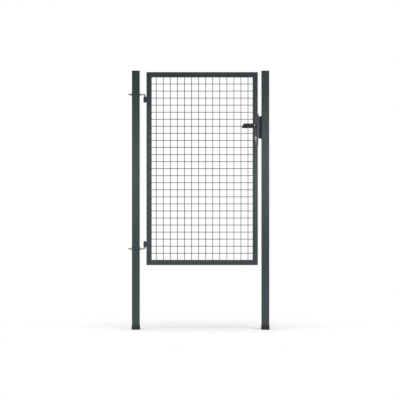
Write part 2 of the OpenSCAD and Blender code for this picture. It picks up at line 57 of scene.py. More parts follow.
leverAxis = jointPoint("lever_turn")
keyAxis = jointPoint("key_turn")
hingeAxis = jointPoint("leaf_swing")
hingePostLow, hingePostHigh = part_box("hinge_post")
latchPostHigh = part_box("latch_post")[1]
gateCentre = (hingePostLow.x + latchPostHigh.x) / 2
alongX, alongY, alongZ = Vector((1, 0, 0)), Vector((0, 1, 0)), Vector((0, 0, 1))


# camera
cameraSetup = {"aside": -0.0046, "height": 1.0006, "distance": 14.0, "viewWidth": 3.0908, "sensor": 36.0}

cameraData = bpy.data.cameras.new("gateCamera")
cameraData.sensor_width = cameraSetup["sensor"]
cameraData.lens = cameraSetup["sensor"] * cameraSetup["distance"] / cameraSetup["viewWidth"]
cameraData.clip_end = 200
camera = bpy.data.objects.new("gateCamera", cameraData)
camera.location = (gateCentre + cameraSetup["aside"], -cameraSetup["distance"], cameraSetup["height"])
camera.rotation_euler = (math.radians(90), 0, 0)
bpy.context.scene.collection.objects.link(camera)
bpy.context.scene.camera = camera
bpy.context.scene.view_settings.view_transform = "Standard"
print("camera placed")


# shader groups
def newGroup(name, inputs, outputs):
    group = bpy.data.node_groups.new(name, "ShaderNodeTree")
    for label, kind, value in inputs:
        socket = group.interface.new_socket(name=label, in_out="INPUT", socket_type=kind)
        if value is not None:
            socket.default_value = value
    for label, kind in outputs:
        group.interface.new_socket(name=label, in_out="OUTPUT", socket_type=kind)
    entry = group.nodes.new("NodeGroupInput")
    leave = group.nodes.new("NodeGroupOutput")
    return group, entry.outputs, leave.inputs


def plug(tree, value, socket):
    if isinstance(value, bpy.types.NodeSocket):
        tree.links.new(value, socket)
    else:
        socket.default_value = value


def addNode(tree, kind, links=None, **settings):
    node = tree.nodes.new(kind)
    for key, value in settings.items():
        setattr(node, key, value)
    for key, value in (links or {}).items():
        plug(tree, value, node.inputs[key])
    return node


def noise(tree, vector, scale, detail, roughness):
    links = {"Vector": vector, "Scale": scale, "Detail": detail, "Roughness": roughness}
    return addNode(tree, "ShaderNodeTexNoise", links).outputs["Fac"]


def remap(tree, value, low, high, newLow, newHigh):
    links = {"Value": value, "From Min": low, "From Max": high, "To Min": newLow, "To Max": newHigh}
    return addNode(tree, "ShaderNodeMapRange", links).outputs["Result"]


def maths(tree, operation, first, second):
    return addNode(tree, "ShaderNodeMath", {0: first, 1: second}, operation=operation).outputs[0]


def blendColours(tree, factor, first, second):
    node = addNode(tree, "ShaderNodeMix", data_type="RGBA")
    for index, value in ((0, factor), (6, first), (7, second)):
        plug(tree, value, node.inputs[index])
    return node.outputs[2]


def buildGrainGroup():
    # fine surface height, a broad tone and a patchy gloss, from one set of coordinates
    group, given, wanted = newGroup("surfaceGrain", [
        ("Vector", "NodeSocketVector", None), ("Grain Scale", "NodeSocketFloat", 600.0),
        ("Tone Scale", "NodeSocketFloat", 9.0),
    ], [("Height", "NodeSocketFloat"), ("Tone", "NodeSocketFloat"), ("Gloss", "NodeSocketFloat")])
    fine = noise(group, given["Vector"], given["Grain Scale"], 3.0, 0.55)
    broad = noise(group, given["Vector"], given["Tone Scale"], 4.0, 0.6)
    middle = noise(group, given["Vector"], maths(group, "MULTIPLY", given["Tone Scale"], 12.0), 2.0, 0.5)
    mottled = maths(group, "ADD", broad, maths(group, "MULTIPLY", middle, 0.35))
    tone = remap(group, mottled, 0.45, 0.9, 0.0, 1.0)
    group.links.new(fine, wanted["Height"])
    group.links.new(tone, wanted["Tone"])
    group.links.new(middle, wanted["Gloss"])
    return group


def buildDustGroup():
    # settles on faces that look upwards, in patches
    group, given, wanted = newGroup("restingDust", [
        ("Vector", "NodeSocketVector", None), ("Amount", "NodeSocketFloat", 0.3),
    ], [("Mask", "NodeSocketFloat")])
    normal = addNode(group, "ShaderNodeNewGeometry").outputs["Normal"]
    upward = addNode(group, "ShaderNodeSeparateXYZ", {"Vector": normal}).outputs["Z"]
    facing = remap(group, upward, 0.35, 1.0, 0.0, 1.0)
    patches = remap(group, noise(group, given["Vector"], 120.0, 5.0, 0.7), 0.35, 0.75, 0.2, 1.0)
    mask = maths(group, "MULTIPLY", maths(group, "MULTIPLY", facing, patches), given["Amount"])
    group.links.new(mask, wanted["Mask"])
    return group


def buildEdgeGroup():
    # the softened edges of a piece, broken up so that the line isn't even
    group, given, wanted = newGroup("edgeRub", [
        ("Vector", "NodeSocketVector", None), ("Amount", "NodeSocketFloat", 0.5),
    ], [("Mask", "NodeSocketFloat")])
    edge = addNode(group, "ShaderNodeAttribute", attribute_name="edge").outputs["Fac"]
    broken = remap(group, noise(group, given["Vector"], 260.0, 4.0, 0.65), 0.35, 0.65, 0.25, 1.0)
    mask = maths(group, "MULTIPLY", maths(group, "MULTIPLY", edge, broken), given["Amount"])
    group.links.new(mask, wanted["Mask"])
    return group


def buildBrushedGroup():
    # fine lines, drawn out along the axes that the coordinates are stretched least on
    group, given, wanted = newGroup("brushedLines", [
        ("Vector", "NodeSocketVector", None), ("Line Scale", "NodeSocketFloat", 900.0),
    ], [("Height", "NodeSocketFloat"), ("Tone", "NodeSocketFloat")])
    lines = noise(group, given["Vector"], given["Line Scale"], 3.0, 0.6)
    group.links.new(lines, wanted["Height"])
    group.links.new(remap(group, lines, 0.3, 0.7, 0.0, 1.0), wanted["Tone"])
    return group


grainGroup = buildGrainGroup()
dustGroup = buildDustGroup()
edgeGroup = buildEdgeGroup()
brushedGroup = buildBrushedGroup()
print("shader groups built")


# materials
def startMaterial(name, stretch=(1, 1, 1)):
    material = bpy.data.materials.new(name)
    material.use_nodes = True
    tree = material.node_tree
    tree.nodes.clear()
    output = tree.nodes.new("ShaderNodeOutputMaterial")
    shader = tree.nodes.new("ShaderNodeBsdfPrincipled")
    tree.links.new(shader.outputs[0], output.inputs["Surface"])
    place = addNode(tree, "ShaderNodeTexCoord").outputs["Object"]
    centre = (-gateCentre, 0, 0)
    spot = addNode(tree, "ShaderNodeMapping", {"Vector": place, "Location": centre, "Scale": stretch})
    return material, tree, shader, spot.outputs["Vector"]


def useGroup(tree, group, **values):
    node = tree.nodes.new("ShaderNodeGroup")
    node.node_tree = group
    for key, value in values.items():
        plug(tree, value, node.inputs[key.replace("_", " ")])
    return node.outputs


def addBump(tree, shader, height, distance, strength):
    links = {"Height": height, "Distance": distance, "Strength": strength}
    tree.links.new(addNode(tree, "ShaderNodeBump", links).outputs["Normal"], shader.inputs["Normal"])


def coated(name, dark, light, dust, gloss, bump, grain, specular=0.17):
    # powder coat or moulded plastic: two close tones, fine grain, paler edges and a little dust
    material, tree, shader, spot = startMaterial(name)
    surface = useGroup(tree, grainGroup, Vector=spot, Grain_Scale=grain)
    rub = useGroup(tree, edgeGroup, Vector=spot, Amount=0.55)["Mask"]
    settled = useGroup(tree, dustGroup, Vector=spot, Amount=dust)["Mask"]
    paler = [1.5 * c + 0.012 for c in light]
    colour = blendColours(tree, surface["Tone"], (*dark, 1), (*light, 1))
    colour = blendColours(tree, rub, colour, (*paler, 1))
    colour = blendColours(tree, settled, colour, (0.30, 0.29, 0.26, 1))
    tree.links.new(colour, shader.inputs["Base Color"])
    tree.links.new(remap(tree, surface["Gloss"], 0.2, 0.8, *gloss), shader.inputs["Roughness"])
    shader.inputs["Specular IOR Level"].default_value = specular
    addBump(tree, shader, surface["Height"], *bump)
    return material


def plated(name, dark, light, gloss, bump, stretch=(1, 1, 1)):
    # bare or plated metal, with fine lines, cloudy patches and brighter edges
    material, tree, shader, spot = startMaterial(name, stretch)
    lines = useGroup(tree, brushedGroup, Vector=spot)
    surface = useGroup(tree, grainGroup, Vector=spot, Tone_Scale=60.0)
    rub = useGroup(tree, edgeGroup, Vector=spot, Amount=0.7)["Mask"]
    brighter = [1.25 * c for c in light]
    mix = maths(tree, "MULTIPLY", maths(tree, "ADD", lines["Tone"], surface["Tone"]), 0.5)
    colour = blendColours(tree, mix, (*dark, 1), (*light, 1))
    colour = blendColours(tree, rub, colour, (*brighter, 1))
    tree.links.new(colour, shader.inputs["Base Color"])
    tree.links.new(remap(tree, mix, 0.0, 1.0, gloss[1], gloss[0]), shader.inputs["Roughness"])
    shader.inputs["Metallic"].default_value = 1.0
    addBump(tree, shader, lines["Height"], *bump)
    return material


# gloss is the lowest and highest roughness, and bump is its depth in metres and its strength
postCoat = coated(
    "postCoat", dark=(0.043, 0.059, 0.063), light=(0.051, 0.070, 0.074), dust=0.16,
    gloss=(0.31, 0.35), bump=(0.0003, 0.14), grain=900)
frameCoat = coated(
    "frameCoat", dark=(0.046, 0.059, 0.062), light=(0.053, 0.069, 0.072), dust=0.16,
    gloss=(0.31, 0.35), bump=(0.0003, 0.14), grain=900)
wireCoat = coated(
    "wireCoat", dark=(0.020, 0.026, 0.027), light=(0.028, 0.035, 0.037), dust=0.08,
    gloss=(0.40, 0.46), bump=(0.0002, 0.15), grain=1100)
barrelCoat = coated(
    "barrelCoat", dark=(0.052, 0.057, 0.062), light=(0.067, 0.073, 0.079), dust=0.15,
    gloss=(0.34, 0.40), bump=(0.0003, 0.2), grain=900)
lockGrey = coated(
    "lockGrey", dark=(0.115, 0.125, 0.130), light=(0.145, 0.157, 0.162), dust=0.12,
    gloss=(0.32, 0.36), bump=(0.0002, 0.15), grain=1100)
capPlastic = coated(
    "capPlastic", dark=(0.024, 0.025, 0.026), light=(0.034, 0.035, 0.036), dust=0.25,
    gloss=(0.42, 0.50), bump=(0.0002, 0.25), grain=1300)
platePlastic = coated(
    "platePlastic", dark=(0.046, 0.054, 0.056), light=(0.057, 0.067, 0.070), dust=0.12,
    gloss=(0.34, 0.40), bump=(0.0002, 0.25), grain=1300)
keepPlastic = coated(
    "keepPlastic", dark=(0.010, 0.012, 0.016), light=(0.014, 0.017, 0.022), dust=0.12,
    gloss=(0.36, 0.44), bump=(0.0002, 0.25), grain=1300)
leverPlastic = coated(
    "leverPlastic", dark=(0.005, 0.005, 0.005), light=(0.008, 0.008, 0.008), dust=0.06,
    gloss=(0.27, 0.31), bump=(0.0001, 0.12), grain=1500, specular=0.28)
zincPlate = plated(
    "zincPlate", dark=(0.17, 0.17, 0.155), light=(0.30, 0.30, 0.275),
    gloss=(0.30, 0.46), bump=(0.0002, 0.15))
nickelPlate = plated(
    "nickelPlate", dark=(0.36, 0.36, 0.34), light=(0.52, 0.51, 0.48),
    gloss=(0.22, 0.36), bump=(0.0001, 0.12), stretch=(1, 1, 6))
# the housing takes a darker copy of the plug's nickel: painted shade round the bright plug
shadedHousingNickel = plated(
    "shadedHousingNickel", dark=(0.14, 0.14, 0.13), light=(0.22, 0.22, 0.205),
    gloss=(0.34, 0.48), bump=(0.0001, 0.15), stretch=(1, 1, 6))
keyMetal = plated(
    "keyMetal", dark=(0.26, 0.255, 0.23), light=(0.40, 0.39, 0.35),
    gloss=(0.25, 0.40), bump=(0.0001, 0.15), stretch=(1, 1, 0.15))
spareMetal = plated(
    "spareMetal", dark=(0.15, 0.145, 0.115), light=(0.24, 0.235, 0.19),
    gloss=(0.30, 0.44), bump=(0.0001, 0.15), stretch=(1, 1, 0.15))
print("materials built")


# modelling helpers
def pointing(point, direction, side=None):
    # a matrix whose local Z looks along direction, with local X along side where it is given
    z = Vector(direction).normalized()
    x = Vector(side).normalized() if side is not None else z.orthogonal().normalized()
    y = z.cross(x)
    turn = Matrix((x, y, z)).transposed()
    return Matrix.Translation(point) @ turn.to_4x4()


def finishPiece(name, bm, body, material, replaced=(), sharpAngle=32):
    # welds and shades the mesh, gives the piece its material and body, and hides the CAD nodes it stands for
    bmesh.ops.remove_doubles(bm, verts=bm.verts, dist=1e-6)
    bmesh.ops.recalc_face_normals(bm, faces=bm.faces)
    mesh = bpy.data.meshes.new(name)
    bm.to_mesh(mesh)
    bm.free()
    mesh.polygons.foreach_set("use_smooth", [True] * len(mesh.polygons))
    mesh.set_sharp_from_angle(angle=math.radians(sharpAngle))
    mesh.materials.append(material)
    piece = bpy.data.objects.new(name, mesh)
    bpy.context.scene.collection.objects.link(piece)
    weighted = piece.modifiers.new("evenShading", "WEIGHTED_NORMAL")
    weighted.keep_sharp = True
    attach(piece, body)
    if replaced:
        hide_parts(*replaced)


def lathe(bm, outline, matrix, steps=32, closed=False):
    # outline: (radius, height) pairs along the local Z of matrix
    verts = [bm.verts.new(matrix @ Vector((radius, 0, height))) for radius, height in outline]
    edges = [bm.edges.new(pair) for pair in zip(verts, verts[1:])]
    if closed:
        edges.append(bm.edges.new((verts[-1], verts[0])))
    bmesh.ops.spin(
        bm, geom=verts + edges, cent=matrix.translation, axis=matrix.to_3x3() @ alongZ,
        angle=math.tau, steps=steps, use_merge=True, use_duplicate=False)
    bmesh.ops.remove_doubles(bm, verts=bm.verts, dist=1e-7)


def box(bm, low, high, bevel=0.0, segments=2, edgeTest=None):
    low, high = Vector(low), Vector(high)
    size = high - low
    matrix = Matrix.Translation((low + high) / 2) @ Matrix.Diagonal((size.x, size.y, size.z, 1))
    verts = bmesh.ops.create_cube(bm, size=1, matrix=matrix)["verts"]
    if bevel:
        edges = list(dict.fromkeys(e for v in verts for e in v.link_edges if edgeTest is None or edgeTest(e)))
        bmesh.ops.bevel(
            bm, geom=edges, offset=bevel, offset_type="OFFSET", segments=segments, profile=0.5,
            affect="EDGES", clamp_overlap=True, material=-1)


def addCopies(bm, source, places=(Matrix(),)):
    # adds a copy of source at each place, and uses source up
    mesh = bpy.data.meshes.new("copyMesh")
    source.to_mesh(mesh)
    source.free()
    for place in places:
        mesh.transform(place)
        bm.from_mesh(mesh)
        mesh.transform(place.inverted())
    bpy.data.meshes.remove(mesh)


def upright(edge):
    return abs((edge.verts[0].co - edge.verts[1].co).normalized().z) > 0.99


def vertsIn(geometry):
    return [part for part in geometry if isinstance(part, bmesh.types.BMVert)]


def edgesIn(geometry):
    return [part for part in geometry if isinstance(part, bmesh.types.BMEdge)]


def edgesAmong(bm, verts):
    group = set(verts)
    return [e for e in bm.edges if e.verts[0] in group and e.verts[1] in group]


def closeHoles(bm):
    bmesh.ops.holes_fill(bm, edges=[e for e in bm.edges if e.is_boundary], sides=0)


def cylinder(bm, radius, length, matrix, sides):
    # a closed cylinder round the local Z of matrix, with its middle at the matrix's own origin
    bmesh.ops.create_cone(
        bm, cap_ends=True, segments=sides, radius1=radius, radius2=radius, depth=length, matrix=matrix)


def carve(bm, tool, operation="DIFFERENCE"):
    # cuts, joins or intersects bm with the closed shape in tool, which is used up
    made = []
    for source in (bm, tool):
        bmesh.ops.recalc_face_normals(source, faces=source.faces)
        mesh = bpy.data.meshes.new("carveMesh")
        source.to_mesh(mesh)
        made.append(bpy.data.objects.new("carveShape", mesh))
        bpy.context.scene.collection.objects.link(made[-1])
    tool.free()
    cutting = made[0].modifiers.new("carve", "BOOLEAN")
    cutting.operation, cutting.solver, cutting.object = operation, "EXACT", made[1]
    depsgraph = bpy.context.evaluated_depsgraph_get()
    shaped = bpy.data.meshes.new_from_object(made[0].evaluated_get(depsgraph))
    bm.clear()
    bm.from_mesh(shaped)
    bpy.data.meshes.remove(shaped)
    for scrap in made:
        mesh = scrap.data
        bpy.data.objects.remove(scrap)
        bpy.data.meshes.remove(mesh)


def softenEdges(bm, width, segments=2, angle=40):
    # rounds the sharp edges and marks the round faces for the edge shader
    layer = bm.loops.layers.float.get("edge") or bm.loops.layers.float.new("edge")
    sharp = [e for e in bm.edges if e.is_manifold and e.calc_face_angle(0) > math.radians(angle)]
    rounded = bmesh.ops.bevel(
        bm, geom=sharp, offset=width, offset_type="OFFSET", segments=segments, profile=0.5,
        affect="EDGES", clamp_overlap=True, material=-1)
    for face in rounded["faces"]:
        for loop in face.loops:
            loop[layer] = 1.0


def softCopy(node, width, segments):
    bm = bmesh.new()
    bm.from_mesh(nodes[node].data)
    bmesh.ops.remove_doubles(bm, verts=bm.verts, dist=2e-6)
    bmesh.ops.dissolve_limit(bm, angle_limit=math.radians(0.6), verts=bm.verts, edges=bm.edges)
    softenEdges(bm, width, segments)
    return bm


def weldBead(bm, start, end, size, flat, spacing, seed):
    # a row of overlapping drops, as a welder leaves it
    rough = random.Random(seed)
    start, end = Vector(start), Vector(end)
    count = max(2, int((end - start).length / (size * spacing)))
    places = []
    for i in range(count + 1):
        swell = size * rough.uniform(0.88, 1.12)
        scale = Matrix.Diagonal((flat[0] * swell, flat[1] * swell, flat[2] * swell, 1))
        places.append(Matrix.Translation(start.lerp(end, i / count)) @ scale)
    drop = bmesh.new()
    bmesh.ops.create_uvsphere(drop, u_segments=8, v_segments=6, radius=1)
    addCopies(bm, drop, places)


def dress(material, *names):
    # these nodes keep their own meshes and only get a material
    for name in names:
        mesh = nodes[name].data
        mesh.materials.clear()
        mesh.materials.append(material)


# posts, caps and feet
capShape = {
    "corner": 0.0045, "skirt": 0.009, "rim": 0.0018, "dome": 0.0022, "plugInset": 0.0027, "plugDepth": 0.018}
footShape = {
    "corner": 0.007, "sole": 0.009, "step": 0.0015, "taper": 0.0016, "rimWidth": 0.0022, "rimDepth": 0.004,
    "edge": 0.0009}

dress(postCoat, "hinge_post", "latch_post")


def buildCap(node, name):
    low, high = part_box(node)
    bottom, shoulder = high.z - capShape["skirt"], high.z - capShape["dome"]
    bm = bmesh.new()
    box(bm, (low.x, low.y, bottom), (high.x, high.y, shoulder), capShape["corner"], 5, upright)
    top = max(bm.faces, key=lambda f: f.calc_center_median().z)
    bmesh.ops.bevel(
        bm, geom=list(top.edges), offset=capShape["rim"], segments=3, profile=0.5, affect="EDGES",
        clamp_overlap=True, material=-1)
    # the top rises in shallow steps that shade as one dome
    top = max(bm.faces, key=lambda f: (round(f.calc_center_median().z, 6), f.calc_area()))
    middle = (low + high) / 2
    aboutMiddle = Matrix.Translation((-middle.x, -middle.y, 0))
    for rise, shrink in ((0.4, 0.85), (0.3, 0.8), (0.2, 0.7), (0.1, 0.5)):
        bmesh.ops.inset_region(bm, faces=[top], thickness=0)
        bmesh.ops.scale(bm, verts=top.verts, vec=(shrink, shrink, 1), space=aboutMiddle)
        bmesh.ops.translate(bm, verts=top.verts, vec=(0, 0, capShape["dome"] * rise))
    under = min(bm.faces, key=lambda f: f.calc_center_median().z)
    bmesh.ops.inset_region(bm, faces=[under], thickness=capShape["plugInset"], use_even_offset=True)
    moved = vertsIn(bmesh.ops.extrude_face_region(bm, geom=[under])["geom"])
    bmesh.ops.translate(bm, verts=moved, vec=(0, 0, -capShape["plugDepth"]))
    bmesh.ops.delete(bm, geom=[under], context="FACES_ONLY")
    finishPiece(name, bm, "posts", capPlastic, (node,), 50)


def buildFoot(node, name):
    low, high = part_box(node)
    middle = (low + high) / 2
    bm = bmesh.new()
    box(bm, low, high, footShape["corner"], 5, upright)
    for height in (footShape["sole"], footShape["sole"] + footShape["step"]):
        everything = bm.verts[:] + bm.edges[:] + bm.faces[:]
        bmesh.ops.bisect_plane(bm, geom=everything, plane_co=(0, 0, low.z + height), plane_no=alongZ)
    # above its sole the shoe is a little narrower, and tapers towards the rim
    for vert in bm.verts:
        above = vert.co.z - low.z - footShape["sole"]
        if above > 1e-5:
            share = 1 - footShape["taper"] * (0.5 + 0.5 * above / (high.z - low.z)) / (middle.x - low.x)
            vert.co.x = middle.x + (vert.co.x - middle.x) * share
            vert.co.y = middle.y + (vert.co.y - middle.y) * share
    top = max(bm.faces, key=lambda f: f.calc_center_median().z)
    bmesh.ops.inset_region(bm, faces=[top], thickness=footShape["rimWidth"], use_even_offset=True)
    bmesh.ops.translate(bm, verts=top.verts, vec=(0, 0, -footShape["rimDepth"]))
    softenEdges(bm, footShape["edge"], 3, 45)
    finishPiece(name, bm, "posts", capPlastic, (node,), 50)


for side in ("hinge", "latch"):
    buildCap(side + "_post_cap", side + "_cap_domed")
    buildFoot(side + "_post_foot", side + "_foot_shoe")
print("posts, caps and feet done")


# leaf frame and mesh
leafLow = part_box("hinge_stile")[0]
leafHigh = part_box("latch_stile")[1]
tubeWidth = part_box("hinge_stile")[1].x - leafLow.x
openLow = leafLow + Vector((tubeWidth, 0, tubeWidth))
openHigh = leafHigh - Vector((tubeWidth, 0, tubeWidth))
dress(frameCoat, "top_rail", "bottom_rail", "hinge_stile", "latch_stile")


def buildMitreWelds():
    # ground flat on the faces, left round in the inner corners
    cornerWeld = {"size": 0.002, "flat": 0.2, "clear": 0.005, "spacing": 0.5}
    size, spacing = cornerWeld["size"], cornerWeld["spacing"]
    onFace, inCorner = (1.0, cornerWeld["flat"], 1.0), (0.9, 1, 0.9)
    bm = bmesh.new()
    seed = 10
    for outerX, innerX in ((leafLow.x, openLow.x), (leafHigh.x, openHigh.x)):
        for outerZ, innerZ in ((leafLow.z, openLow.z), (leafHigh.z, openHigh.z)):
            outer, inner = Vector((outerX, 0, outerZ)), Vector((innerX, 0, innerZ))
            step = (inner - outer).normalized() * cornerWeld["clear"]
            for y in (leafLow.y, leafHigh.y):
                face = Vector((0, y, 0))
                seed += 1
                weldBead(bm, outer + step + face, inner - step * 0.3 + face, size, onFace, spacing, seed)
            across = Vector((0, tubeWidth / 2 - cornerWeld["clear"], 0))
            weldBead(bm, inner - across, inner + across, size, inCorner, spacing, seed + 20)
    finishPiece("mitre_welds", bm, "leaf", frameCoat, (), 60)


def evenPlaces(low, high, pitch):
    # as many places as fit at this pitch, centred between low and high
    count = int((high - low) / pitch)
    return [(low + high) / 2 + (i - (count - 1) / 2) * pitch for i in range(count)]


def buildMesh():
    wire = {"radius": 0.0025, "pitch": 0.0545, "sides": 10, "sink": 0.0022, "tuck": 0.0012, "nugget": 0.0033}
    wide, tall = openHigh.x - openLow.x, openHigh.z - openLow.z
    middle = (openLow + openHigh) / 2
    columns = evenPlaces(openLow.x, openHigh.x, wire["pitch"])
    rows = evenPlaces(openLow.z, openHigh.z, wire["pitch"])
    bm = bmesh.new()
    for x in columns:
        spot = pointing((x, -wire["sink"], middle.z), alongZ, alongX)
        cylinder(bm, wire["radius"], tall + 2 * wire["tuck"], spot, wire["sides"])
    for z in rows:
        spot = pointing((middle.x, wire["sink"], z), alongX, alongY)
        cylinder(bm, wire["radius"], wide + 2 * wire["tuck"], spot, wire["sides"])

    def drops(scale, across, up):
        # a row of drops at the places in across, then a copy of it at the places in up
        drop, row = bmesh.new(), bmesh.new()
        spot = Matrix.Diagonal((*[wire["nugget"] * size for size in scale], 1))
        bmesh.ops.create_uvsphere(drop, u_segments=8, v_segments=6, radius=1, matrix=spot)
        addCopies(row, drop, [Matrix.Translation(place) for place in across])
        addCopies(bm, row, [Matrix.Translation(place) for place in up])

    # resistance welds where the wires cross, and drops where they meet the frame
    heights = [(0, 0, z) for z in rows]
    drops((0.85, 0.62, 0.85), [(x, 0, 0) for x in columns], heights)
    ends = [(0, 0, z) for z in (openLow.z, openHigh.z)]
    drops((1.1, 1.0, 0.5), [(x, -wire["sink"], 0) for x in columns], ends)
    drops((0.5, 1.0, 1.1), [(x, wire["sink"], 0) for x in (openLow.x, openHigh.x)], heights)
    finishPiece("welded_mesh", bm, "leaf", wireCoat, ("mesh_infill",), 60)


buildMitreWelds()
buildMesh()
print("leaf frame and mesh done")


# hinges
rodShape = {"bend": 0.013, "sides": 28, "chamfer": 0.0008}
threadShape = {
    "pitch": 0.00175, "depth": 0.0009, "root": 0.0001, "steps": 24, "start": 0.0006, "past": 0.0035,
    "hidden": 0.002}
nutShape = {"chamfer": 0.0011, "bore": 0.0058, "flat": 0.97, "over": 1.02}
washerShape = {"bore": 0.0064, "ease": 0.0004}
barrelShape = {
    "radius": 0.012, "bore": 0.00605, "edge": 0.0012, "pad": 0.007, "step": 0.0006, "weldEnd": 0.002}


def addThread(bm, start, end, radius):
    # a helical ridge, closed at both ends, over the core of the rod
    turns = int((end - start).length / threadShape["pitch"])
    way = (end - start).normalized()
    root = radius - threadShape["depth"] - threadShape["root"]
    half = threadShape["pitch"] * 0.49
    profile = ((root, -half), (radius, -half * 0.2), (radius, half * 0.2), (root, half))
    matrix = pointing(start + way * half, way)
    verts = [bm.verts.new(matrix @ Vector((r, 0, h))) for r, h in profile]
    edges = [bm.edges.new((verts[i], verts[(i + 1) % 4])) for i in range(4)]
    bm.faces.new(verts)
    steps = turns * threadShape["steps"]
    made = bmesh.ops.spin(
        bm, geom=edges + verts, cent=matrix.translation, axis=way, angle=math.tau * turns, steps=steps,
        dvec=way * (threadShape["pitch"] / threadShape["steps"]), use_merge=False, use_duplicate=False)
    bmesh.ops.holes_fill(bm, edges=edgesIn(made["geom_last"]), sides=4)


def buildRod(level, down):
    node = level + "_hinge_rod"
    low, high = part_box(node)
    radius = (high.y - low.y) / 2
    height = high.z - radius if down else low.z + radius
    pinEnd = low.z if down else high.z
    turn = -1 if down else 1
    bendX = hingeAxis.x - rodShape["bend"]
    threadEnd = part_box(level + "_hinge_nuts")[1].x + threadShape["past"]
    core = radius - threadShape["depth"]
    bm = bmesh.new()

    def ring(x, size):
        spot = pointing((x, 0, height), alongX, alongY)
        return bmesh.ops.create_circle(bm, segments=rodShape["sides"], radius=size, matrix=spot)["verts"]

    cut = rodShape["chamfer"]
    shoulder = threadEnd + threadShape["depth"]
    sections = (
        (low.x, core - cut), (low.x + cut, core), (threadEnd, core), (shoulder, radius), (bendX, radius))
    rings = [ring(x, size) for x, size in sections]
    loops = [edgesAmong(bm, verts) for verts in rings]
    for one, two in zip(loops, loops[1:]):
        bmesh.ops.bridge_loops(bm, edges=one + two)
    bent = bmesh.ops.spin(
        bm, geom=loops[-1] + rings[-1], cent=(bendX, 0, height + turn * rodShape["bend"]),
        axis=(0, -turn, 0), angle=math.radians(90), steps=12, use_duplicate=False)
    straight = bmesh.ops.extrude_edge_only(bm, edges=edgesIn(bent["geom_last"]))["geom"]
    pinVerts = vertsIn(straight)
    bmesh.ops.translate(bm, verts=pinVerts, vec=(0, 0, pinEnd - turn * cut - pinVerts[0].co.z))
    pinEdges = [e for e in edgesIn(straight) if all(v in pinVerts for v in e.verts)]
    tipVerts = vertsIn(bmesh.ops.extrude_edge_only(bm, edges=pinEdges)["geom"])
    bmesh.ops.translate(bm, verts=tipVerts, vec=(0, 0, turn * cut))
    share = 1 - cut / radius
    aboutPin = Matrix.Translation((-hingeAxis.x, 0, 0))
    bmesh.ops.scale(bm, verts=tipVerts, vec=(share, share, 1), space=aboutPin)
    closeHoles(bm)
    hidden = threadShape["hidden"]
    for start, end in (
            (low.x + threadShape["start"], hingePostLow.x + hidden), (hingePostHigh.x - hidden, threadEnd)):
        addThread(bm, Vector((start, 0, height)), Vector((end, 0, height)), radius)
    finishPiece(level + "_rod_threaded", bm, "posts", zincPlate, (node,), 40)


def buildNuts(level):
    node = level + "_hinge_nuts"
    low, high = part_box(node)
    middle = (low + high) / 2
    corner = (high.z - low.z) / 2
    thick = high.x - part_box(level + "_hinge_washers")[1].x
    half, cut = thick / 2, nutShape["chamfer"]
    flat = corner * math.cos(math.pi / 6) * nutShape["flat"]
    wide = corner * nutShape["over"]
    outline = ((0, -half), (flat, -half), (wide, -half + cut), (wide, half - cut), (flat, half), (0, half))
    bm = bmesh.new()
    for startX in (low.x, high.x - thick):
        hexagon, turned, bore = bmesh.new(), bmesh.new(), bmesh.new()
        spot = pointing((startX + half, middle.y, middle.z), alongX, alongZ)
        cylinder(hexagon, corner, thick, spot, 6)
        lathe(turned, outline, spot, 48)
        carve(hexagon, turned, "INTERSECT")
        cylinder(bore, nutShape["bore"], thick * 1.2, spot, 28)
        carve(hexagon, bore)
        addCopies(bm, hexagon)
    finishPiece(level + "_nuts_chamfered", bm, "posts", zincPlate, (node,), 25)


def buildWashers(level):
    node = level + "_hinge_washers"
    low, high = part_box(node)
    middle = (low + high) / 2
    radius = (high.z - low.z) / 2
    bore, ease = washerShape["bore"], washerShape["ease"]
    bm = bmesh.new()
    for inner, outer in ((hingePostLow.x, low.x), (hingePostHigh.x, high.x)):
        thick = abs(outer - inner)
        spot = pointing((inner, 0, middle.z), (outer - inner, 0, 0))
        outline = (
            (bore, 0), (radius - ease, 0), (radius, ease), (radius, thick - ease), (radius - ease, thick),
            (bore + ease, thick), (bore, thick - ease))
        lathe(bm, outline, spot, 40, closed=True)
    finishPiece(level + "_washers_pressed", bm, "posts", zincPlate, (node,), 25)


def buildBarrel(level):
    node = level + "_hinge_barrel"
    low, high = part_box(node)
    edge, radius, bore = barrelShape["edge"], barrelShape["radius"], barrelShape["bore"]
    tall = high.z - low.z
    bm = bmesh.new()
    spot = pointing((hingeAxis.x, hingeAxis.y, low.z), alongZ, alongX)
    slight, half = edge * 0.3, edge * 0.5
    outline = (
        (bore, half), (bore + half, 0), (radius - edge, 0), (radius - slight, slight), (radius, edge),
        (radius, tall - edge), (radius - slight, tall - slight), (radius - edge, tall), (bore + half, tall),
        (bore, tall - half))
    lathe(bm, outline, spot, 48, closed=True)
    pad, step, end = barrelShape["pad"], barrelShape["step"], barrelShape["weldEnd"]
    box(bm, (hingeAxis.x + radius * 0.72, -pad, low.z + step), (high.x, pad, high.z - step), 0.001)
    # one bead where the pad meets the frame and one where it meets the barrel, on both faces
    for side in (-1, 1):
        beads = (
            (high.x - step, side * pad, 0.0024, 0.62, 30),
            (hingeAxis.x + radius * 0.84, side * (pad + 0.0004), 0.0017, 0.7, 40))
        for x, y, size, spacing, seed in beads:
            weldBead(bm, (x, y, low.z + end), (x, y, high.z - end), size, (1, 1, 0.9), spacing, seed + side)
    finishPiece(level + "_barrel_welded", bm, "leaf", barrelCoat, (node,), 45)


for level, down in (("upper", True), ("lower", False)):
    buildRod(level, down)
    buildNuts(level)
    buildWashers(level)
    buildBarrel(level)
print("hinges done")


# lock body
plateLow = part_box("front_back_plate")[0]
screwShape = {"plate": (0.0026, 0.0025), "keep": (0.003, 0.003), "cylinder": (0.0025, 0.0025)}


def soften(node, body, material, width, segments=2, name=None):
    bm = softCopy(node, width, segments)
    finishPiece(name or node + "_eased", bm, body, material, (node,))


